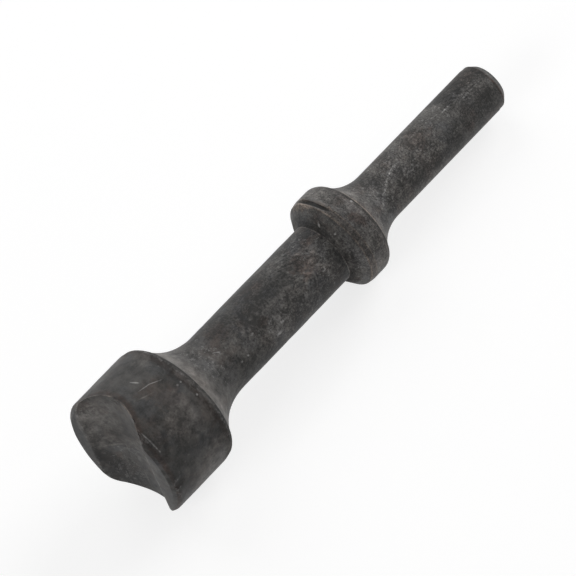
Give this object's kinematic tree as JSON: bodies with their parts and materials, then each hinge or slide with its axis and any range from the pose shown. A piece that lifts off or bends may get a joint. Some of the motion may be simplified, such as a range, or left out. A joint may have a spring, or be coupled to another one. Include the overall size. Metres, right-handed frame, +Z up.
{
  "type": "tie rod chisel bit",
  "caption": "Air hammer bit with a round grooved head, a straight stem, a retaining collar and a plain round shank, forged in one piece.",
  "frame": {"origin": "centre of the struck face, on the tool's axis", "axes": "+X along the tool's axis, from the working face to the struck face; +Z up, along the groove of the working face; +Y across the groove"},
  "size_m": [0.104, 0.0266, 0.0266],
  "materials": {
    "oxide_steel": "dark oxide over forged and turned steel, matt, with paler worn edges"
  },
  "bodies": {
    "root": {"forged_bit": "oxide_steel"}
  },
  "joints": []
}
